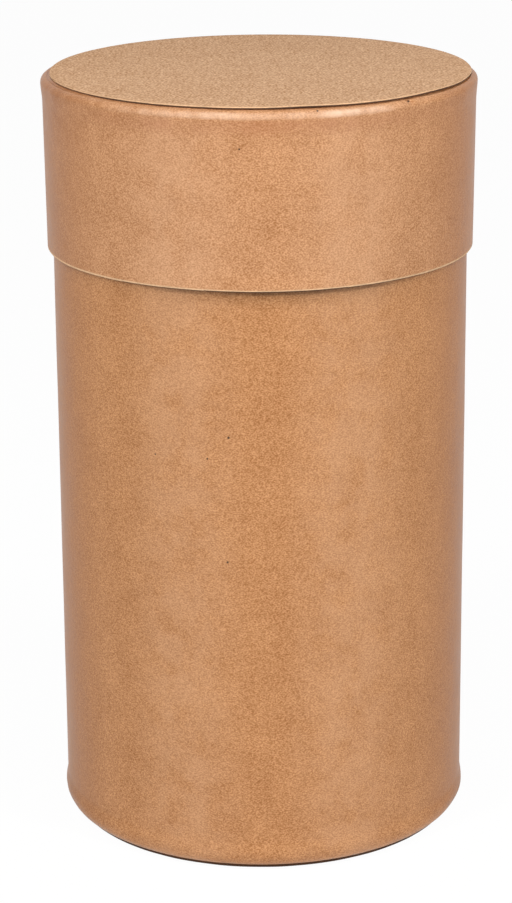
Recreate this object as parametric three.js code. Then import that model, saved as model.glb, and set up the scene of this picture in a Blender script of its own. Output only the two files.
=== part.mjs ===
// Fibre drum with a slip-on lid: two wound kraft walls, each with one end turned in between
// a pressed head disc and a glued cover disc. Millimetres, +Z up.
// The origin is the centre of the underside, where the drum stands.
import * as THREE from "three";

// Driving dimensions of the drum
const drumRadius = 150; // outer face of the straight wall
const drumHeight = 550; // floor to the open rim
const footFoldRadius = 12; // outside curve where the wall turns in at the foot
const footSwell = 1.4; // the turned end stands this far proud of the wall
const footSwellReach = 10; // height over which the swell dies out

// Driving dimensions of the lid
const skirtDepth = 126; // lower edge of the skirt to the top of the cover disc
const skirtClearance = 1.2; // gap between the drum and the skirt's lower edge, all round
const skirtTaper = 1.1; // the skirt is this much wider in radius at its closed end
const lidFoldRadius = 5.4; // outside curve of the shoulder
const lidSwell = 0.8; // the shoulder stands this far proud of the skirt
const lidSwellReach = 13;

// Driving dimensions of the paper and board
const wallThickness = 3; // wound kraft wall
const plyStep = 0.4; // the wound paper ends in a step this high
const plyStepWidth = 1.5; // the step's slope, measured around the wall
const lipRadius = 0.8; // rounding of the cut rims
const flangeWidth = 26; // how far a turned end reaches inwards past its fold
const headThickness = 2.5; // pressed inner disc
const coverThickness = 1.6; // flat outer disc
const lidCoverSetback = 5.6; // cover disc's edge, inside the outermost face of the shoulder
const baseCoverSetback = 8; // the same at the foot
const coverEdgeRadius = 0.5;
const lidCoverShift = 1; // the lid's cover disc was laid this far off centre
const pressSlope = 5; // width of the head disc's pressed step
const fitGap = 0.3; // air kept where a board edge lies against a wall, and lid on rim

// Where each winding's outer and inner edge lies, in degrees from +X; both show behind and inside
const drumLaps = { outer: 112, inner: 262 };
const lidLaps = { outer: 68, inner: 212 };

const facetsAround = 72;
const foldFacets = 5;
const swellFacets = 4;
const lipFacets = 2;

// Heights that follow from the sizes above
const headSeat = coverThickness + wallThickness; // from an end face to the flange's inner side
const lidTop = drumHeight + fitGap + headThickness + headSeat;

const kraftWall = new THREE.MeshStandardMaterial({ color: 0xc68d60, roughness: 0.72, metalness: 0 });
const kraftLid = new THREE.MeshStandardMaterial({ color: 0xd39b6e, roughness: 0.68, metalness: 0 });
const coverBoard = new THREE.MeshStandardMaterial({ color: 0xcda27e, roughness: 0.8, metalness: 0 });
const headBoard = new THREE.MeshStandardMaterial({ color: 0xb58a62, roughness: 0.85, metalness: 0 });

// Points of an arc about a centre, from one angle to another in degrees, both ends included
function arc(centreR, centreZ, radius, fromDegrees, toDegrees, steps) {
  return Array.from({ length: steps + 1 }, (_, i) => {
    const angle = THREE.MathUtils.degToRad(fromDegrees + ((toDegrees - fromDegrees) * i) / steps);
    return { r: centreR + radius * Math.cos(angle), z: centreZ + radius * Math.sin(angle) };
  });
}

// Sizes of one wall. z = 0 is the outer face of its turned end, and the open rim is at z = -height.
function wallShape({ rimRadius, taper, height, foldRadius, swell, swellReach }) {
  const foldFace = rimRadius + taper + swell;
  return {
    rimRadius,
    height,
    foldRadius,
    foldCentreR: foldFace - foldRadius,
    // Outer face of the wall at a height: the taper, then an even swell into the fold
    faceRadius(z) {
      const along = THREE.MathUtils.clamp((height + z) / (height - foldRadius), 0, 1);
      const rise = THREE.MathUtils.smoothstep(z, -foldRadius - swellReach, -foldRadius);
      return rimRadius + taper * along + swell * rise;
    },
    swellHeights: Array.from(
      { length: swellFacets },
      (_, i) => -foldRadius - swellReach * (1 - i / swellFacets),
    ),
    flangeInner: foldFace - foldRadius - flangeWidth,
  };
}

// Inner face of the turned end, at a depth below its outer face
function innerFaceAt(shape, depth) {
  const innerFold = shape.foldRadius - wallThickness;
  const below = THREE.MathUtils.clamp(shape.foldRadius - depth, 0, innerFold);
  return shape.foldCentreR + Math.sqrt(innerFold ** 2 - below ** 2);
}

// Closed section of a wall. A point's lap says how much of the winding's step it carries:
// 1 on the outer face, -1 on the inner face, 0 where the fold is pressed smooth.
function wallSection(shape) {
  const { foldCentreR, foldRadius, height, flangeInner } = shape;
  const carries = (points, lap) => points.map((point) => ({ ...point, lap }));
  const face = (z, inset) => ({ r: shape.faceRadius(z) - inset, z });
  const rim = shape.faceRadius(-height);
  const lip = lipRadius - height;
  return [
    ...carries(arc(rim - lipRadius, lip, lipRadius, -90, 0, lipFacets), 1),
    ...carries(shape.swellHeights.map((z) => face(z, 0)), 1),
    ...carries(arc(foldCentreR, -foldRadius, foldRadius, 0, 90, foldFacets), 0),
    ...carries([{ r: flangeInner, z: 0 }, { r: flangeInner, z: -wallThickness }], 0),
    ...carries(arc(foldCentreR, -foldRadius, foldRadius - wallThickness, 90, 0, foldFacets), 0),
    ...carries(shape.swellHeights.map((z) => face(z, wallThickness)).reverse(), -1),
    ...carries(arc(rim - wallThickness + lipRadius, lip, lipRadius, 180, 270, lipFacets), -1),
  ];
}

// Columns around the wall: even steps, plus a close pair at each winding edge.
// From one pair to the next turn's pair the ply rises evenly by its own thickness.
function columnsAround(laps, radius) {
  const stepDegrees = THREE.MathUtils.radToDeg(plyStepWidth / radius);
  const even = Array.from({ length: facetsAround }, (_, i) => (360 * i) / facetsAround);
  const edges = Object.values(laps).flatMap((at) => [at, at + stepDegrees]);
  const clear = even.filter((a) => edges.every((edge) => Math.abs(a - edge) > stepDegrees / 2));
  const rise = (angle, at) => {
    const turned = THREE.MathUtils.euclideanModulo(angle - at, 360);
    const onStep = turned < stepDegrees ? 1 - turned / stepDegrees : null;
    return onStep ?? (turned - stepDegrees) / (360 - stepDegrees);
  };
  return [...clear, ...edges]
    .sort((a, b) => a - b)
    .map((angle) => ({ angle, outer: rise(angle, laps.outer), inner: rise(angle, laps.inner) }));
}

// A wall wound round the axis from its section, with the paper's free edges on both faces
function woundWall(shape, laps) {
  const section = wallSection(shape);
  const columns = columnsAround(laps, shape.rimRadius);
  const positions = columns.flatMap(({ angle, outer, inner }) => {
    const a = THREE.MathUtils.degToRad(angle);
    return section.flatMap(({ r, z, lap }) => {
      const share = lap > 0 ? outer - 0.5 : 0.5 - inner;
      const radius = r + plyStep * Math.abs(lap) * share;
      return [radius * Math.cos(a), radius * Math.sin(a), z];
    });
  });
  const index = [];
  for (let c = 0; c < columns.length; c++) {
    const here = c * section.length;
    const next = ((c + 1) % columns.length) * section.length;
    for (let p = 0; p < section.length; p++) {
      const q = (p + 1) % section.length;
      index.push(here + p, next + p, next + q, here + p, next + q, here + q);
    }
  }
  const geometry = new THREE.BufferGeometry();
  geometry.setAttribute("position", new THREE.Float32BufferAttribute(positions, 3));
  geometry.setIndex(index);
  geometry.computeVertexNormals();
  return geometry;
}

// A lathe turned onto the Z axis, from (r, z) points that start and end on the axis
function turned(points) {
  const profile = points.map(({ r, z }) => new THREE.Vector2(r, z));
  return new THREE.LatheGeometry(profile, facetsAround).rotateX(Math.PI / 2);
}

// Head disc with its outer side up: the rim lies under the flange, and the middle is pressed up
// through the flange's ring to meet the cover disc. z = 0 is the cover disc's inner side.
function headDisc(shape) {
  const seat = -wallThickness;
  const under = seat - headThickness;
  const slopeFoot = shape.flangeInner - fitGap;
  const rimTop = innerFaceAt(shape, wallThickness);
  const rimUnder = innerFaceAt(shape, wallThickness + headThickness) - fitGap;
  return turned([
    { r: 0, z: under + wallThickness },
    { r: slopeFoot - pressSlope - headThickness, z: under + wallThickness },
    { r: slopeFoot - headThickness, z: under },
    { r: rimUnder, z: under },
    { r: rimTop - fitGap, z: seat },
    { r: slopeFoot, z: seat },
    { r: slopeFoot - pressSlope, z: 0 },
    { r: 0, z: 0 },
  ]);
}

// Cover disc with its outer side up and its inner side at z = 0, its outer edge eased
function coverDisc(shape, setback) {
  const radius = shape.foldCentreR + shape.foldRadius - setback;
  return turned([
    { r: 0, z: 0 },
    { r: radius, z: 0 },
    ...arc(radius - coverEdgeRadius, coverThickness - coverEdgeRadius, coverEdgeRadius, 0, 90, lipFacets),
    { r: 0, z: coverThickness },
  ]);
}

// The same piece with its outer side down
function turnedOver(geometry) {
  return geometry.rotateX(Math.PI);
}

function piece(name, geometry, material, z) {
  const mesh = new THREE.Mesh(geometry, material);
  mesh.name = name;
  mesh.position.z = z;
  return mesh;
}

const drumShape = wallShape({
  rimRadius: drumRadius,
  taper: 0,
  height: drumHeight - coverThickness,
  foldRadius: footFoldRadius,
  swell: footSwell,
  swellReach: footSwellReach,
});

const lidShape = wallShape({
  rimRadius: drumRadius + skirtClearance + wallThickness,
  taper: skirtTaper,
  height: skirtDepth - coverThickness,
  foldRadius: lidFoldRadius,
  swell: lidSwell,
  swellReach: lidSwellReach,
});

function makeDrum() {
  const drum = new THREE.Group();
  drum.add(
    piece("drum_wall", turnedOver(woundWall(drumShape, drumLaps)), kraftWall, coverThickness),
    piece("base_head_disc", turnedOver(headDisc(drumShape)), headBoard, coverThickness),
    piece("base_cover_disc", turnedOver(coverDisc(drumShape, baseCoverSetback)), coverBoard, coverThickness),
  );
  return drum;
}

function makeLid() {
  const lid = new THREE.Group();
  const seat = lidTop - coverThickness;
  const cover = piece("lid_cover_disc", coverDisc(lidShape, lidCoverSetback), coverBoard, seat);
  cover.position.x = lidCoverShift;
  lid.add(
    piece("lid_wall", woundWall(lidShape, lidLaps), kraftLid, seat),
    piece("lid_head_disc", headDisc(lidShape), headBoard, seat),
    cover,
  );
  return lid;
}

const fibreDrum = new THREE.Group();
fibreDrum.add(makeDrum(), makeLid());

export default fibreDrum;
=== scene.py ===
# A kraft fibre drum with its slip-on lid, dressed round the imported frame. Metres, +Z up.
import math

import bpy
from mathutils import Matrix, Vector, noise


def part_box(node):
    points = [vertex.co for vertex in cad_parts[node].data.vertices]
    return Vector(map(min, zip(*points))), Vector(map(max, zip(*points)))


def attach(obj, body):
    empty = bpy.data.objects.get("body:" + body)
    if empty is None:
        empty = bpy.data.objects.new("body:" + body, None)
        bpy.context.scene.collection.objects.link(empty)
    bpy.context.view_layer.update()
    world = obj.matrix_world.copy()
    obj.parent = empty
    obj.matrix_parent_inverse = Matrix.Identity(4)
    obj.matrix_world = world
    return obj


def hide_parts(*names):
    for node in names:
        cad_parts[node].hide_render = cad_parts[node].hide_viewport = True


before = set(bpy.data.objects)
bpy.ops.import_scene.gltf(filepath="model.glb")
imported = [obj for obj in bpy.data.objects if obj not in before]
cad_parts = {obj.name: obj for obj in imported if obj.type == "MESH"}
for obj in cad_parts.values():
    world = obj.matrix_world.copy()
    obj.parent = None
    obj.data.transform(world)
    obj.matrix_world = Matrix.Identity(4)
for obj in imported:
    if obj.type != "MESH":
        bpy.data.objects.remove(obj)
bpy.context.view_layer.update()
MM = 0.001

# Sizes of the drum, from the frame and the paper's own gauge
wall_low, wall_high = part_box("drum_wall")
skirt_low, skirt_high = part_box("lid_wall")
foot_low, foot_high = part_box("base_cover_disc")
cover_low, cover_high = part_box("lid_cover_disc")
foot_head_low, foot_head_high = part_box("base_head_disc")
lid_head_low, lid_head_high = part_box("lid_head_disc")

WALL = 3 * MM
FOOT_SWELL = 1.4 * MM
FOOT_SWELL_REACH = 10 * MM
FOOT_FOLD = 12 * MM
LID_TAPER = 1.1 * MM
LID_SWELL = 0.8 * MM
LID_SWELL_REACH = 13 * MM
LID_FOLD = 5.4 * MM
LID_FOLD_WIDTH = 7.5 * MM
LIP = 0.8 * MM
FLANGE = 26 * MM
PLY = 0.4 * MM
PRESS_SLOPE = 5 * MM
HEAD_BOARD = 2.5 * MM
DISC_EASE = 0.5 * MM
HAIR_GAP = 0.3 * MM

foot_face = wall_high.x
lid_face = skirt_high.x
drum_radius = foot_face - FOOT_SWELL
cover_centre = (cover_low.x + cover_high.x) / 2
cover_radius = (cover_high.x - cover_low.x) / 2

# Where each winding ends outside and inside, in degrees from the front
DRUM_LAPS = (158.0, 8.0)
LID_LAPS = (-158.0, -58.0)

# Unevenness of the paper and board: its depth, the length of a wave, and its place in the noise
DRUM_RIPPLE = (0.12 * MM, 60 * MM, 3.0)
FOOT_RIPPLE = (0.7 * MM, 24 * MM, 7.0)
SKIRT_EDGE_RIPPLE = (0.15 * MM, 30 * MM, 11.0)
SHOULDER_RIPPLE = (0.45 * MM, 22 * MM, 1.0)
DISC_EDGE_RIPPLE = (0.22 * MM, 18 * MM, 5.0)

# The ring pressed into the shoulder by the cover disc's edge: its depth, its half width, and how
# far below the top the paper still gives
SEAT_RING = 0.6 * MM
SEAT_RING_SPAN = 1.8 * MM
SEAT_RING_BAND = 2 * MM

# A point this share of the shoulder's radius out, or more, is on its outer face
FOLD_OUTSIDE = 0.9

# The skirt's lower edge stands off the drum a little more at the front
EDGE_FLARE = 1.3 * MM
EDGE_FLARE_REACH = 14 * MM
EDGE_FLARE_AT = (6, 0)
EDGE_FLARE_SPAN = (34, 1)

# The cut edges: the pale strip at the skirt's lower edge, and the dark lip below it, soiled and painted
# with the shadow of the gap under the skirt
CUT_STRIP = 1.6 * MM
LIP_SOIL_AND_SHADE = 0.35 * MM
LIP_SOIL_AND_SHADE_FRONT = 0.42 * MM
LIP_SOIL_AND_SHADE_AT = (4, 0)
LIP_SOIL_AND_SHADE_SPAN = (70, 1)

# How far the top disc stands off the shoulder, and the two stretches where it stands higher
TOP_LIFT = 0.25 * MM
TOP_LIFT_MORE = 0.5 * MM
TOP_LIFT_STRETCHES = (((12, 0), (14, 1)), ((52, 0), (18, 1)))
TOP_LIFT_REACH = 9 * MM

# A disc's cut edge: its wobble, its pale strip, the dark glue and painted shadow below, and the slack
# to tell a face by
DISC_WOBBLE_REACH = 4 * MM
DISC_RIM = 1 * MM
PALE_EDGE = 0.3 * MM
GLUE_AND_SHADOW_LINE = 0.7 * MM
EDGE_SLACK = 0.1 * MM

# Marks pressed into the shoulder: degrees from the front, depth below the top, half width in
# degrees, half height, and how far the mark stands out
SHOULDER_MARKS = (
    (-16.0, 2.6 * MM, 2.6, 2.4 * MM, 1.3 * MM),
    (-16.0, 2.4 * MM, 1.6, 1.5 * MM, -1.7 * MM),
    (14.6, 2.0 * MM, 1.0, 1.8 * MM, -1.4 * MM),
    (41.5, 1.6 * MM, 1.5, 2.6 * MM, -1.8 * MM),
    (24.0, 3.0 * MM, 7.0, 3.0 * MM, 0.5 * MM),
    (-25.0, 3.5 * MM, 6.0, 3.0 * MM, 0.4 * MM),
    (-4.0, 4.5 * MM, 7.0, 3.0 * MM, 0.3 * MM),
)

# Fineness of the meshes, and the radius of the ring from which a disc is drawn out
WALL_COLUMNS = 600
LID_COLUMNS = 720
DISC_COLUMNS = 480
WALL_ROWS = 56
DISC_RINGS = 14
SMOOTH_ANGLE = 35
AXIS_RING = 2 * MM


# Modelling helpers

def select_only(piece):
    bpy.ops.object.select_all(action="DESELECT")
    piece.select_set(True)
    bpy.context.view_layer.objects.active = piece


def place_at(angle, radius, height):
    """A point from its angle to the front in degrees, its distance from the axis and its height."""
    turn = math.radians(angle)
    return Vector((radius * math.sin(turn), -radius * math.cos(turn), height))


def angle_from_front(x, y):
    return math.degrees(math.atan2(x, -y))


def arc(centre_r, centre_z, width, height, first, last, steps):
    """Points (radius, height) of a quarter-round, from one angle to another in degrees."""
    turns = [math.radians(first + (last - first) * i / steps) for i in range(steps + 1)]
    return [(centre_r + width * math.cos(a), centre_z + height * math.sin(a)) for a in turns]


def line(first, last, steps):
    """Points after the first, up to and with the last."""
    return [tuple(a + (b - a) * i / steps for a, b in zip(first, last)) for i in range(1, steps + 1)]


def round_piece(name, outline, columns):
    """Extrudes a ring along an outline of (radius, height) points, all the way round the axis.
    The two free rings at the end are bridged, or filled where they lie at the axis."""
    bpy.ops.object.select_all(action="DESELECT")
    radius, height = outline[0]
    bpy.ops.mesh.primitive_circle_add(vertices=columns, radius=radius, location=(0, 0, height))
    piece = bpy.context.object
    piece.name = piece.data.name = name
    bpy.ops.object.transform_apply(location=True, rotation=True, scale=True)
    select_only(piece)
    bpy.ops.object.mode_set(mode="EDIT")
    bpy.ops.mesh.select_all(action="SELECT")
    for (r0, z0), (r1, z1) in zip(outline, outline[1:]):
        bpy.ops.mesh.extrude_region_move(TRANSFORM_OT_translate={"value": (0, 0, z1 - z0)})
        bpy.ops.transform.resize(value=(r1 / r0, r1 / r0, 1), center_override=(0, 0, 0))
    bpy.ops.mesh.select_all(action="DESELECT")
    bpy.ops.mesh.select_mode(type="EDGE")
    bpy.ops.mesh.select_non_manifold()
    if radius > AXIS_RING:
        bpy.ops.mesh.bridge_edge_loops()
    else:
        bpy.ops.mesh.edge_face_add()
        bpy.ops.mesh.fill_holes(sides=0)
    bpy.ops.mesh.select_all(action="SELECT")
    bpy.ops.mesh.normals_make_consistent(inside=False)
    bpy.ops.object.mode_set(mode="OBJECT")
    return piece


def reshape(piece, move):
    """Moves each point of a piece: move takes its angle from the front, radius and height."""
    for vertex in piece.data.vertices:
        x, y, z = vertex.co
        angle = angle_from_front(x, y)
        vertex.co = place_at(angle, *move(angle, math.hypot(x, y), z))


def share(value, low, high):
    """0 below low, 1 above high, and an even rise between."""
    return min(max((value - low) / (high - low), 0), 1)


def ramp(value, low, high):
    """0 below low, 1 above high, and a soft rise between."""
    t = share(value, low, high)
    return t * t * (3 - 2 * t)


def bump_at(angle, height, at, size):
    """A round-shouldered bump, 1 at its middle; at and size are (degrees, metres of height)."""
    d = math.hypot((angle - at[0]) / size[0], (height - at[1]) / size[1])
    return 1 - ramp(d, 0, 1)


def ripple(angle, height, depth, wave, seed):
    """Even noise round the axis, up to its depth in and out."""
    place = place_at(angle, 1, 0) * drum_radius
    place.z = height
    return depth * noise.noise(place / wave + Vector((seed, seed, seed)))


def ply_step(angle, outer, laps):
    """How far the winding moves a face outwards: the ply rises by its own gauge in each turn."""
    edge = laps[0] if outer else laps[1]
    wound_on = ((angle - edge) % 360) / 360
    return PLY * (wound_on - 0.5) * (1 if outer else -1)


# The two wound walls

def drum_wall():
    """The drum's wound wall, from its open rim down and in under the foot, and back up inside."""
    rim = wall_high.z
    seat = wall_low.z
    inner = drum_radius - WALL
    fold_r = foot_face - FOOT_FOLD
    fold_z = seat + FOOT_FOLD
    fold_in = FOOT_FOLD - WALL
    swell_top = fold_z + FOOT_SWELL_REACH
    flange = fold_r - FLANGE
    outline = arc(drum_radius - LIP, rim - LIP, LIP, LIP, 90, 0, 3)
    outline += line((drum_radius, rim - LIP), (drum_radius, swell_top), WALL_ROWS)
    outline += line((drum_radius, swell_top), (drum_radius, fold_z), 8)
    outline += arc(fold_r, fold_z, FOOT_FOLD - FOOT_SWELL, FOOT_FOLD, 0, -90, 10)[1:]
    outline += [(flange, seat), (flange, seat + WALL)]
    outline += arc(fold_r, fold_z, fold_in - FOOT_SWELL, fold_in, -90, 0, 6)
    outline += line((inner, fold_z), (inner, swell_top), 6)
    outline += line((inner, swell_top), (inner, rim - LIP), WALL_ROWS // 4)
    outline += arc(inner + LIP, rim - LIP, LIP, LIP, 180, 90, 3)[1:]
    piece = round_piece("Drum_Wall", outline, WALL_COLUMNS)

    def wound(angle, radius, height):
        free = ramp(height, fold_z, swell_top)
        held = 1 - free
        if radius > fold_r:
            radius += FOOT_SWELL * held * ramp(radius, fold_r, inner)
        if height > fold_z:
            outer = radius > drum_radius - WALL / 2
            radius += ply_step(angle, outer, DRUM_LAPS) * free
            radius += ripple(angle, height, *DRUM_RIPPLE) * free
        else:
            radius += ripple(angle, height, *FOOT_RIPPLE) * held * ramp(height, seat, fold_z)
        return radius, height

    reshape(piece, wound)
    return piece


def shoulder_marks(angle, height):
    """How far the small blister, pits and notch push the shoulder's paper out."""
    return sum(
        rise * bump_at(angle, height, (turn, skirt_high.z - depth), (half_width, half_height))
        for turn, depth, half_width, half_height, rise in SHOULDER_MARKS
    )


def lid_wall():
    """The lid's skirt, from its lower edge up and in over the shoulder, and back down inside."""
    edge = skirt_low.z
    seat = skirt_high.z
    rim = lid_face - LID_SWELL - LID_TAPER
    inner_rim = rim - WALL
    flare_top = edge + EDGE_FLARE_REACH
    fold_r = lid_face - LID_FOLD_WIDTH
    fold_z = seat - LID_FOLD
    fold_in = LID_FOLD - WALL
    swell_foot = fold_z - LID_SWELL_REACH
    flange = lid_face - LID_FOLD - FLANGE
    outline = arc(rim - LIP, edge + LIP, LIP, LIP, -90, 0, 6)
    outline += [(rim, edge + CUT_STRIP)]
    outline += line((rim, edge + CUT_STRIP), (rim, flare_top), 12)
    outline += line((rim, flare_top), (lid_face, fold_z), 34)
    outline += arc(fold_r, fold_z, LID_FOLD_WIDTH, LID_FOLD, 0, 90, 26)[1:]
    outline += line((fold_r, seat), (flange, seat), 4)
    outline += [(flange, seat - WALL)]
    outline += arc(lid_face - LID_FOLD, fold_z, fold_in, fold_in, 90, 0, 5)
    outline += line((lid_face - WALL, fold_z), (inner_rim, flare_top), 10)
    outline += line((inner_rim, flare_top), (inner_rim, edge + LIP), 4)
    outline += arc(inner_rim + LIP, edge + LIP, LIP, LIP, 180, 270, 4)[1:]
    piece = round_piece("Lid_Wall", outline, LID_COLUMNS)

    def wound(angle, radius, height):
        straight = rim + (lid_face - rim) * share(height, flare_top, fold_z)
        outer = radius > straight - WALL / 2
        swell = ramp(height, swell_foot, fold_z)
        if height < fold_z:
            true = rim + LID_TAPER * share(height, edge, fold_z) + LID_SWELL * swell
            radius += true - straight
            radius += ply_step(angle, outer, LID_LAPS) * (1 - swell)
            open_edge = 1 - ramp(height, edge, flare_top)
            radius += EDGE_FLARE * bump_at(angle, 0, EDGE_FLARE_AT, EDGE_FLARE_SPAN) * open_edge
            radius += ripple(angle, 0, *SKIRT_EDGE_RIPPLE) * open_edge
        if height > seat - SEAT_RING_BAND and radius > fold_r:
            height -= SEAT_RING * bump_at(0, radius, (0, cover_radius), (1, SEAT_RING_SPAN))
        out = max(radius - fold_r, 0) / LID_FOLD_WIDTH
        up = max(height - fold_z, 0) / LID_FOLD
        over_fold = height > fold_z and math.hypot(out, up) > FOLD_OUTSIDE
        if over_fold or (outer and height > swell_foot):
            push = ripple(angle, height, *SHOULDER_RIPPLE) * (swell * ramp(radius, fold_r, lid_face))
            push += shoulder_marks(angle, height)
            lean = math.atan2(up, out)
            radius += push * math.cos(lean)
            height += push * math.sin(lean)
        return radius, height

    reshape(piece, wound)
    return piece


def lip_soil_and_shade(angle):
    """How far up the skirt's lower lip is dark, soiled and painted with the gap's shadow: most at the
    front, where it stands off the drum.
    """
    return LIP_SOIL_AND_SHADE + LIP_SOIL_AND_SHADE_FRONT * bump_at(angle, 0, LIP_SOIL_AND_SHADE_AT, LIP_SOIL_AND_SHADE_SPAN)


# The boards

def cover_disc(name, low, high, radius, centre_x, lift):
    """A flat die-cut disc. Its rim stands off by lift, a function of the angle, as glued board does."""
    ease = DISC_EASE
    outline = [(AXIS_RING, high)]
    outline += line((AXIS_RING, high), (radius - ease, high), DISC_RINGS)
    outline += arc(radius - ease, high - ease, ease, ease, 90, 0, 3)[1:]
    outline += [(radius, high - ease - PALE_EDGE), (radius, low + ease / 2), (radius - ease / 2, low)]
    outline += line((radius - ease / 2, low), (AXIS_RING, low), DISC_RINGS)
    piece = round_piece(name, outline, DISC_COLUMNS)

    def laid(angle, r, height):
        wobble = ripple(angle, 0, *DISC_EDGE_RIPPLE) * ramp(r, radius - DISC_WOBBLE_REACH, radius)
        return r + wobble, height + lift(angle) * ramp(r, radius - TOP_LIFT_REACH, radius)

    reshape(piece, laid)
    piece.data.transform(Matrix.Translation((centre_x, 0, 0)))
    return piece


def flat(angle):
    return 0.0


def top_lift(angle):
    """The top disc stands off the shoulder a little, and more in two stretches at the front right."""
    stretches = sum(bump_at(angle, 0, at, size) for at, size in TOP_LIFT_STRETCHES)
    return TOP_LIFT + TOP_LIFT_MORE * min(stretches, 1)


def head_disc(name, face, seat, under, rim_top, rim_under, flange):
    """A board disc pressed into a shallow pan: its middle meets the cover disc at face, and its
    rim lies against the turned-in end at seat."""
    board = HEAD_BOARD if under > seat else -HEAD_BOARD
    foot = flange - HAIR_GAP
    slope = foot - PRESS_SLOPE
    outline = [(AXIS_RING, face)]
    outline += line((AXIS_RING, face), (slope, face), 6)
    outline += line((slope, face), (foot, seat), 4)
    outline += line((foot, seat), (rim_top, seat), 4)
    outline += line((rim_top, seat), (rim_under, under), 2)
    outline += line((rim_under, under), (foot - HEAD_BOARD, under), 4)
    outline += line((foot - HEAD_BOARD, under), (slope - HEAD_BOARD, face + board), 4)
    outline += line((slope - HEAD_BOARD, face + board), (AXIS_RING, face + board), 6)
    return round_piece(name, outline, DISC_COLUMNS)


# Colours, as they look on screen from 0 to 255, and what a fibre keeps of the paper's

WALL_COLOUR = (171, 120, 76)
LID_COLOUR = (175, 126, 85)
COVER_COLOUR = (183, 144, 107)
BOARD_COLOUR = (162, 124, 88)
EDGE_COLOUR = (205, 166, 127)
# Dark cut edges: soiling and glue, with painted shadow under the skirt, the top disc and the foot
SOILED_AND_SHADED_EDGE_COLOUR = (84, 56, 36)

FLECK_COLOUR = (78, 46, 26)
SPOT_COLOUR = (38, 22, 14)
SCUFF_COLOUR = (131, 80, 42)
# Painted shade that darkens the paper towards both sides
SIDE_SHADE_COLOUR = (130, 69, 4)
# Painted highlight on the shoulder's crest, over paper rubbed pale
RUB_AND_HIGHLIGHT_COLOUR = (217, 182, 155)
REDDENED_COLOUR = (159, 97, 64)
# Painted shadow of the skirt's edge on the drum
SKIRT_SHADOW_COLOUR = (44, 24, 14)
# Painted highlights of the side lamps down the front
PAINTED_LAMP_HIGHLIGHTS_COLOUR = (202, 160, 126)

DARK_FIBRE = (0.62, 0.50, 0.36)
PALE_FIBRE = (1.38, 1.53, 1.82)


# Patterns in the paper and board: scale, detail and roughness of a noise

FINE_FIBRES = (860, 0.0, 0.5)
LONG_FIBRES = (260, 1.0, 0.5)
CLOUDS = (45, 3.0, 0.6)
SWATHS = (7, 2.0, 0.5)
SCUFF_PATCHES = (70, 4.0, 0.7)
SIDE_SHADE_PATCHES = (34, 4.0, 0.65)
BAND_PATCHES = (48, 3.0, 0.6)
BOARD_GRAIN = (500, 2.0, 0.6)
PATTERN_TURN = (0.45, 0.8, 0.35)

# The part of each noise that is used, and what it is spread to
FULL_RANGE = (0.25, 0.75)
SWATH_RANGE = (0.3, 0.7)
BOARD_RANGE = (0.3, 0.7)
SCUFF_RANGE = (0.42, 0.68, 0.0, 0.5)
SIDE_SHADE_RANGE = (0.25, 0.75, 0.45, 0.65)
BAND_RANGE = (0.36, 0.58, 0.3, 1.0)

# How much each pattern adds to the paper's tone, and how the swaths are drawn out round the drum
FINE_WEIGHT = 1.05
LONG_WEIGHT = 0.16
CLOUD_WEIGHT = 0.2
SWATH_WEIGHT = 0.07
SWATH_SQUEEZE = (1, 1, 2.2)

# Dark flecks: cells in a metre, size and share of the cells that have one, and how dark they are
FLECKS_PER_METRE = 85
FLECK_SIZE = 0.055
FLECK_SHARE = 0.10
FLECK_DEPTH = 0.5
DOT_CORE = 0.6
DOT_REACH = 1.3

# Relief and gloss: strength and depth of a bump, and how far the roughness strays both ways
FIBRE_BUMP = (0.35, 0.12 * MM)
FINE_RELIEF = 0.5
GLOSSIER = 0.07
DULLER = 0.09

# The cut board: how the ply rings mix with its grain, and how far they darken and lighten it
RING_SCALE = 780
RING_WEIGHT = 0.4
GRAIN_WEIGHT = 0.6
DARK_PLY = 0.86
PALE_PLY = 1.06
PALEST = 250
BOARD_ROUGHNESS = 0.85
BOARD_BUMP = (0.5, 0.15 * MM)


# Places of the marks in the paper

def millimetres(*values):
    return tuple(value * MM for value in values)


def below(top, *depths):
    """Heights that lie some millimetres below another."""
    return tuple(top - depth * MM for depth in depths)


# Bands: four places across, four heights, colour and share.
# The shoulder's crest is rubbed pale and carries a painted highlight, with a redder line below it, and
# a painted shadow of the skirt's edge lies as a dark line on the drum
CREST = below(skirt_high.z, 6.6, 4.8, 2.4, 1.0)
SHOULDER_RUBS_AND_HIGHLIGHTS = (
    (millimetres(-108, -80, 80, 104), CREST, RUB_AND_HIGHLIGHT_COLOUR, 0.34),
    (millimetres(-66, -50, -26, -12), CREST, RUB_AND_HIGHLIGHT_COLOUR, 0.55),
    (millimetres(38, 54, 80, 92), CREST, RUB_AND_HIGHLIGHT_COLOUR, 0.85),
)
SHOULDER_RED = (
    millimetres(-130, -80, 90, 130),
    below(skirt_high.z, 19, 12, 8, 5),
    REDDENED_COLOUR,
    0.3,
)
# A painted shadow: the dark line the skirt's edge casts on the drum just below it
SKIRT_SHADOW_LINE = (
    millimetres(-95, -25, 68, 108),
    below(skirt_low.z, 4.0, 2.7, 0.8, 0.4),
    SKIRT_SHADOW_COLOUR,
    0.42,
)

# Two soft upright painted highlights down the front, where the side lamps shine
FULL_HEIGHT = (*below(foot_low.z, 20, 10), *below(skirt_high.z, 8, 0))
PAINTED_LAMP_HIGHLIGHTS = (
    (millimetres(-98, -70, -46, -10), FULL_HEIGHT, PAINTED_LAMP_HIGHLIGHTS_COLOUR, 0.25),
    (millimetres(14, 48, 76, 108), FULL_HEIGHT, PAINTED_LAMP_HIGHLIGHTS_COLOUR, 0.25),
)

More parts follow.
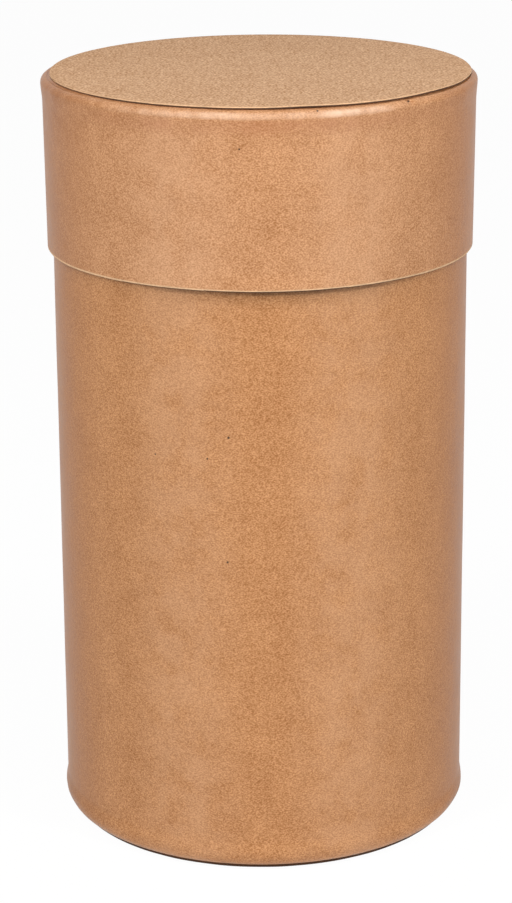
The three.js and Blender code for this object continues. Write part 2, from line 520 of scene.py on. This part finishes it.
# Single dark dots: degrees from the front, distance from the axis, height and size
DRUM_SPOTS = (
    (-8.8, drum_radius, 327 * MM, 0.9 * MM),
    (-14.6, drum_radius, 311 * MM, 0.7 * MM),
    (-29.7, drum_radius, 310 * MM, 0.7 * MM),
    (-9.4, drum_radius, 236 * MM, 0.8 * MM),
)
LID_SPOTS = (
    (-27.4, lid_face - LID_SWELL, 485 * MM, 0.7 * MM),
    (-5.1, lid_face - LID_SWELL, 530 * MM, 0.7 * MM),
    # The last two darken the notch and the pit pressed into the shoulder: painted shade in their
    # hollows
    (41.5, lid_face - 4.0 * MM, skirt_high.z - 1.4 * MM, 1.2 * MM),
    (14.6, lid_face - 3.4 * MM, skirt_high.z - 1.6 * MM, 0.7 * MM),
)

# Where the painted shade towards the sides begins and is full, as a distance across
DRUM_SIDE_SHADE = millimetres(115, 150)
LID_SIDE_SHADE = millimetres(113, 152)

# Where the lid's brown scuffs begin and are full: up the skirt, and towards the left
SCUFF_HEIGHTS = below(skirt_high.z, 60, 4)
SCUFF_SIDE = millimetres(-60, -130)

# How far the front's bands reach round: from none to full
FRONT_REACH = millimetres(-40, -70)


# Materials

def linear(colour):
    """A colour given as it looks on screen, 0 to 255, in the shader's linear values."""
    def channel(v):
        v /= 255
        return v / 12.92 if v <= 0.04045 else ((v + 0.055) / 1.055) ** 2.4
    return (*map(channel, colour), 1)


def tinted(colour, shares):
    """A screen colour in linear values, with a share of each channel."""
    return (*(channel * part for channel, part in zip(linear(colour), shares)), 1)


def add(tree, kind, inputs=(), **options):
    """Adds a shader node, sets its options, and fills its inputs with values or links."""
    node = tree.nodes.new("ShaderNode" + kind)
    for option, value in options.items():
        setattr(node, option, value)
    for socket, value in dict(inputs).items():
        if isinstance(value, bpy.types.NodeSocket):
            tree.links.new(value, node.inputs[socket])
        else:
            node.inputs[socket].default_value = value
    return node


def new_material(name):
    """An empty material: its tree, its shader and the piece's own coordinates."""
    material = bpy.data.materials.new(name)
    material.use_nodes = True
    tree = material.node_tree
    shader = next(n for n in tree.nodes if n.type == "BSDF_PRINCIPLED")
    place = add(tree, "TexCoord").outputs["Object"]
    return material, tree, shader, place


def spread(tree, value, low, high, to_low=0.0, to_high=1.0):
    """Maps a value from one range to another, held at both ends."""
    inputs = {"Value": value, "From Min": low, "From Max": high, "To Min": to_low, "To Max": to_high}
    return add(tree, "MapRange", inputs, clamp=True).outputs["Result"]


def math_node(tree, operation, a, b=0.0):
    return add(tree, "Math", {0: a, 1: b}, operation=operation).outputs[0]


def times(tree, *values):
    """The product of two values or more."""
    total = values[0]
    for value in values[1:]:
        total = math_node(tree, "MULTIPLY", total, value)
    return total


def layered(tree, *layers):
    """The sum of some patterns, each given with its weight."""
    total = None
    for pattern, weight in layers:
        layer = times(tree, pattern, weight)
        total = layer if total is None else math_node(tree, "ADD", total, layer)
    return total


def blend(tree, factor, a, b):
    return add(tree, "Mix", {0: factor, 6: a, 7: b}, data_type="RGBA").outputs[2]


def axes(tree, place):
    return add(tree, "SeparateXYZ", {"Vector": place}).outputs


def skewed(tree, place):
    """Turns a pattern's coordinates, so that its lattice lies along no axis."""
    return add(tree, "Mapping", {"Vector": place, "Rotation": PATTERN_TURN}).outputs["Vector"]


def squeezed(tree, place, scale):
    return add(tree, "Mapping", {"Vector": place, "Scale": scale}).outputs["Vector"]


def grain(tree, place, pattern):
    scale, detail, roughness = pattern
    inputs = {"Vector": place, "Scale": scale, "Detail": detail, "Roughness": roughness}
    return add(tree, "TexNoise", inputs).outputs["Fac"]


def even_grain(tree, place, pattern, used=FULL_RANGE):
    """A noise spread from -1 to 1."""
    return spread(tree, grain(tree, place, pattern), *used, -1.0, 1.0)


def dots(tree, place, spots):
    """Single dark dots: each spot is (degrees from the front, distance from the axis, height, size)."""
    total = None
    for angle, radius, height, size in spots:
        inputs = {0: place, 1: place_at(angle, radius, height)}
        gap = add(tree, "VectorMath", inputs, operation="DISTANCE").outputs["Value"]
        dot = spread(tree, gap, size * DOT_CORE, size * DOT_REACH, 1.0, 0.0)
        total = dot if total is None else math_node(tree, "MAXIMUM", total, dot)
    return total


def flecks(tree, place):
    """Small dark flecks: one in some cells of a pattern, 1 inside a fleck and 0 outside."""
    inputs = {"Vector": place, "Scale": FLECKS_PER_METRE, "Randomness": 1.0}
    cells = add(tree, "TexVoronoi", inputs)
    near = spread(tree, cells.outputs["Distance"], FLECK_SIZE * 0.5, FLECK_SIZE, 1.0, 0.0)
    value = add(tree, "SeparateColor", {"Color": cells.outputs["Color"]}).outputs[0]
    chosen = spread(tree, value, FLECK_SHARE, FLECK_SHARE + 0.001, 1.0, 0.0)
    return times(tree, near, chosen)


def scuffed(tree, place, low, high):
    """Brown scuffs that grow from one height to another, and towards the left."""
    along = axes(tree, place)
    patch = spread(tree, grain(tree, place, SCUFF_PATCHES), *SCUFF_RANGE)
    up = spread(tree, along["Z"], low, high)
    across = spread(tree, along["X"], *SCUFF_SIDE)
    return times(tree, patch, up, across)


def front_band(tree, place, sides, heights):
    """A band round the front: 1 within it, with soft ends.
    Sides are four places across and heights four up, where it begins, is full, is full and ends."""
    along = axes(tree, place)
    total = spread(tree, along["Y"], *FRONT_REACH)
    for axis, (begin, full, full_end, end) in (("X", sides), ("Z", heights)):
        total = times(tree, total, spread(tree, along[axis], begin, full))
        total = times(tree, total, spread(tree, along[axis], end, full_end))
    return total


def banded(tree, place, paper, sides, heights, colour, strength):
    """Lays an uneven band of another colour over the paper."""
    uneven = spread(tree, grain(tree, place, BAND_PATCHES), *BAND_RANGE)
    band = times(tree, front_band(tree, place, sides, heights), uneven, strength)
    return blend(tree, band, paper, linear(colour))


def side_shaded(tree, place, inner, outer):
    """Painted shade in brown patches, stronger towards both sides."""
    across = math_node(tree, "ABSOLUTE", axes(tree, place)["X"])
    patch = spread(tree, grain(tree, place, SIDE_SHADE_PATCHES), *SIDE_SHADE_RANGE)
    return times(tree, patch, spread(tree, across, inner, outer))


def raised(tree, shader, height, bump):
    strength, distance = bump
    inputs = {"Height": height, "Strength": strength, "Distance": distance}
    tree.links.new(add(tree, "Bump", inputs).outputs["Normal"], shader.inputs["Normal"])


def kraft(name, colour, fibre=(1, 1, 1), mottle=1.0, cloud=1.0, roughness=0.36, sheen=0.15,
          spots=(), scuffs=None, side_shade=None, bands=()):
    """Machine-glazed kraft: short fibres, pale and dark, in soft clouds, with a few dark flecks."""
    material, tree, shader, place = new_material(name)
    along = skewed(tree, squeezed(tree, place, fibre))
    fine = even_grain(tree, along, FINE_FIBRES)
    long = even_grain(tree, along, LONG_FIBRES)
    clouds = even_grain(tree, place, CLOUDS)
    swaths = even_grain(tree, squeezed(tree, place, SWATH_SQUEEZE), SWATHS, SWATH_RANGE)
    tone = layered(tree, (fine, mottle * FINE_WEIGHT), (long, mottle * LONG_WEIGHT),
                   (clouds, cloud * CLOUD_WEIGHT), (swaths, cloud * SWATH_WEIGHT))
    tone = spread(tree, tone, -1.0, 1.0)
    paper = blend(tree, tone, tinted(colour, DARK_FIBRE), tinted(colour, PALE_FIBRE))
    paper = blend(tree, times(tree, flecks(tree, place), FLECK_DEPTH), paper, linear(FLECK_COLOUR))
    if spots:
        paper = blend(tree, dots(tree, place, spots), paper, linear(SPOT_COLOUR))
    if scuffs:
        paper = blend(tree, scuffed(tree, place, *scuffs), paper, linear(SCUFF_COLOUR))
    # Painted shade towards both sides
    if side_shade:
        paper = blend(tree, side_shaded(tree, place, *side_shade), paper, linear(SIDE_SHADE_COLOUR))
    for band in bands:
        paper = banded(tree, place, paper, *band)
    tree.links.new(paper, shader.inputs["Base Color"])
    gloss = math_node(tree, "ADD", fine, clouds)
    gloss = spread(tree, gloss, -2.0, 2.0, roughness - GLOSSIER, roughness + DULLER)
    tree.links.new(gloss, shader.inputs["Roughness"])
    shader.inputs["Specular IOR Level"].default_value = sheen
    raised(tree, shader, layered(tree, (fine, FINE_RELIEF), (long, 1.0)), FIBRE_BUMP)
    return material


def ply_edge(name, colour):
    """A cut rim: board core with the wound plies showing as fine rings."""
    material, tree, shader, place = new_material(name)
    inputs = {"Vector": place, "Scale": RING_SCALE, "Distortion": 2.0, "Detail": 2.0}
    rings = add(tree, "TexWave", inputs, wave_type="RINGS", rings_direction="Z").outputs["Fac"]
    rough = spread(tree, grain(tree, place, BOARD_GRAIN), *BOARD_RANGE)
    tone = layered(tree, (rings, RING_WEIGHT), (rough, GRAIN_WEIGHT))
    dark = tuple(channel * DARK_PLY for channel in colour)
    pale = tuple(min(channel * PALE_PLY, PALEST) for channel in colour)
    tree.links.new(blend(tree, tone, linear(dark), linear(pale)), shader.inputs["Base Color"])
    shader.inputs["Roughness"].default_value = BOARD_ROUGHNESS
    raised(tree, shader, tone, BOARD_BUMP)
    return material


def finish_piece(piece, body, node, slot, *materials):
    for material in materials:
        piece.data.materials.append(material)
    select_only(piece)
    bpy.ops.object.shade_smooth_by_angle(angle=math.radians(SMOOTH_ANGLE))
    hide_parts(node)
    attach(piece, body)


def cut_faces(piece, test, slot=1):
    """Gives another of a piece's materials to faces that pass a test of (radius, height, angle)."""
    for face in piece.data.polygons:
        x, y, z = face.center
        if test(math.hypot(x, y), z, angle_from_front(x, y)):
            face.material_index = slot


# The assembled drum

# The wall and lid carry painted highlights down the front, painted shade towards the sides and a
# painted shadow below the skirt; the lid's shoulder a painted highlight
wall_kraft = kraft("wall_kraft", WALL_COLOUR, fibre=(1, 1, 1.4), mottle=0.68,
                   spots=DRUM_SPOTS, side_shade=DRUM_SIDE_SHADE, bands=(*PAINTED_LAMP_HIGHLIGHTS, SKIRT_SHADOW_LINE))
lid_kraft = kraft("lid_kraft", LID_COLOUR, fibre=(1, 1, 1.3), mottle=0.62,
                  spots=LID_SPOTS, scuffs=SCUFF_HEIGHTS, side_shade=LID_SIDE_SHADE,
                  bands=(*PAINTED_LAMP_HIGHLIGHTS, SHOULDER_RED, *SHOULDER_RUBS_AND_HIGHLIGHTS))
cover_kraft = kraft("cover_kraft", COVER_COLOUR, fibre=(0.85, 0.55, 1), mottle=0.75, cloud=0.6,
                    roughness=0.75, sheen=0.1)
inner_board = kraft("inner_board", BOARD_COLOUR, mottle=0.4, roughness=0.8, sheen=0.2)
cut_edge = ply_edge("cut_edge", EDGE_COLOUR)
# Dark edges: soiled and glued, and painted with the shadows under the skirt, the top disc and the foot
soiled_and_shaded_edge = ply_edge("soiled_and_shaded_edge", SOILED_AND_SHADED_EDGE_COLOUR)

drum = drum_wall()
cut_faces(drum, lambda r, z, a: z > wall_high.z - LIP)
finish_piece(drum, "drum", "drum_wall", "kraft_wall", wall_kraft, cut_edge)

lid = lid_wall()
cut_faces(lid, lambda r, z, a: z < skirt_low.z + CUT_STRIP)
# The skirt's lowest lip is dark: soiling and a painted shadow of the gap under the skirt
cut_faces(lid, lambda r, z, a: z < skirt_low.z + lip_soil_and_shade(a), slot=2)
finish_piece(lid, "lid", "lid_wall", "kraft_lid", lid_kraft, cut_edge, soiled_and_shaded_edge)

top = cover_disc("Lid_Cover_Disc", cover_low.z, cover_high.z, cover_radius, cover_centre, top_lift)
top_rim = cover_radius - DISC_RIM
cut_faces(top, lambda r, z, a: r > top_rim and z < cover_high.z + top_lift(a) - EDGE_SLACK)
# Below the top disc's pale strip its edge is dark: glue and a painted shadow over the shoulder
cut_faces(top, lambda r, z, a: r > top_rim and z < cover_low.z + top_lift(a) + GLUE_AND_SHADOW_LINE, slot=2)
finish_piece(top, "lid", "lid_cover_disc", "cover_board", cover_kraft, cut_edge, soiled_and_shaded_edge)

base = cover_disc("Base_Cover_Disc", foot_low.z, foot_high.z, foot_high.x, 0.0, flat)
# The base disc's edge is dark all round: a painted contact shadow under the foot
cut_faces(base, lambda r, z, a: foot_low.z + EDGE_SLACK < z < foot_high.z - EDGE_SLACK)
finish_piece(base, "drum", "base_cover_disc", "base_board", inner_board, soiled_and_shaded_edge)

lid_fold_centre = lid_face - LID_FOLD
lid_head = head_disc("Lid_Head_Disc", lid_head_high.z, lid_head_high.z - WALL, lid_head_low.z,
                     lid_fold_centre - HAIR_GAP, lid_head_high.x, lid_fold_centre - FLANGE)
finish_piece(lid_head, "lid", "lid_head_disc", "head_board", inner_board)

foot_fold_centre = foot_face - FOOT_FOLD
foot_head = head_disc("Base_Head_Disc", foot_head_low.z, foot_head_low.z + WALL, foot_head_high.z,
                      foot_fold_centre - HAIR_GAP, foot_head_high.x, foot_fold_centre - FLANGE)
finish_piece(foot_head, "drum", "base_head_disc", "head_board", inner_board)


# Floor, light and camera

WORLD_LIGHT = 0.13
SIDE_BOX = {"distance": 2.0, "height": 1.6, "size": (0.35, 1.7), "power": 37, "aim": 0.3}
TOP_BOX = {"distance": 0.9, "height": 2.2, "size": (1.6, 0.35), "power": 18, "aim": 0.5}

FLOOR_SIZE = 40
FLOOR_TONE = 0.9
FLOOR_ROUGHNESS = 0.9
FLOOR_WHITE = 0.97

CAMERA_PLACE = (-0.0041, -2.0544, 0.9118)
CAMERA_PITCH = 17.33
CAMERA_ROLL = 0.43
FOCAL_PIXELS = 2892.6
FRAME_HEIGHT = 903
SENSOR = 36.0


def seen_directly(tree):
    """1 where the camera, a mirror or glass looks at the background, and 0 for its light."""
    path = add(tree, "LightPath").outputs
    mirrored = math_node(tree, "MAXIMUM", path["Is Glossy Ray"], path["Is Transmission Ray"])
    return math_node(tree, "MAXIMUM", path["Is Camera Ray"], mirrored)


def white_to_the_eye(tree, shader_output, strength):
    """Mixes plain white into what is seen of a surface, and leaves its shadow and its light."""
    factor = times(tree, seen_directly(tree), strength)
    white = add(tree, "Emission", {"Color": (1, 1, 1, 1), "Strength": 1.0}).outputs[0]
    return add(tree, "MixShader", {0: factor, 1: shader_output, 2: white}).outputs[0]


def make_floor():
    bpy.ops.object.select_all(action="DESELECT")
    bpy.ops.mesh.primitive_plane_add(size=FLOOR_SIZE, location=(0, 0, foot_low.z))
    floor = bpy.context.object
    floor.name = "Floor"
    material, tree, shader, place = new_material("pale_floor")
    shader.inputs["Base Color"].default_value = (FLOOR_TONE, FLOOR_TONE, FLOOR_TONE, 1)
    shader.inputs["Roughness"].default_value = FLOOR_ROUGHNESS
    out = next(n for n in tree.nodes if n.type == "OUTPUT_MATERIAL")
    tree.links.new(white_to_the_eye(tree, shader.outputs[0], FLOOR_WHITE), out.inputs["Surface"])
    floor.data.materials.append(material)


def make_world():
    world = bpy.data.worlds.new("studio")
    bpy.context.scene.world = world
    world.use_nodes = True
    tree = world.node_tree
    back = next(n for n in tree.nodes if n.type == "BACKGROUND")
    back.inputs["Color"].default_value = (1, 1, 1, 1)
    back.inputs["Strength"].default_value = WORLD_LIGHT
    out = next(n for n in tree.nodes if n.type == "OUTPUT_WORLD")
    white = add(tree, "Background", {"Color": (1, 1, 1, 1), "Strength": 1.0}).outputs[0]
    mixed = add(tree, "MixShader", {0: seen_directly(tree), 1: back.outputs[0], 2: white}).outputs[0]
    tree.links.new(mixed, out.inputs["Surface"])


def soft_box(name, turn, distance, height, size, power, aim):
    """A rectangular lamp at an angle from the front, in degrees, that looks at a height on the axis."""
    lamp = bpy.data.lights.new(name, "AREA")
    lamp.shape = "RECTANGLE"
    lamp.size, lamp.size_y = size
    lamp.energy = power
    box = bpy.data.objects.new(name, lamp)
    bpy.context.scene.collection.objects.link(box)
    box.location = place_at(turn, distance, height)
    box.rotation_euler = (Vector((0, 0, aim)) - box.location).to_track_quat("-Z", "Y").to_euler()


def make_camera():
    camera = bpy.data.objects.new("Camera", bpy.data.cameras.new("Camera"))
    bpy.context.scene.collection.objects.link(camera)
    camera.data.sensor_width = SENSOR
    camera.data.lens = FOCAL_PIXELS / FRAME_HEIGHT * SENSOR
    tilt = Matrix.Rotation(math.radians(90 - CAMERA_PITCH), 4, "X")
    roll = Matrix.Rotation(math.radians(-CAMERA_ROLL), 4, "Z")
    camera.matrix_world = Matrix.Translation(CAMERA_PLACE) @ tilt @ roll
    bpy.context.scene.camera = camera


make_floor()
make_world()
soft_box("left_box", turn=-43, **SIDE_BOX)
soft_box("right_box", turn=50, **SIDE_BOX)
soft_box("top_box", turn=0, **TOP_BOX)
make_camera()
bpy.context.scene.view_settings.view_transform = "Standard"
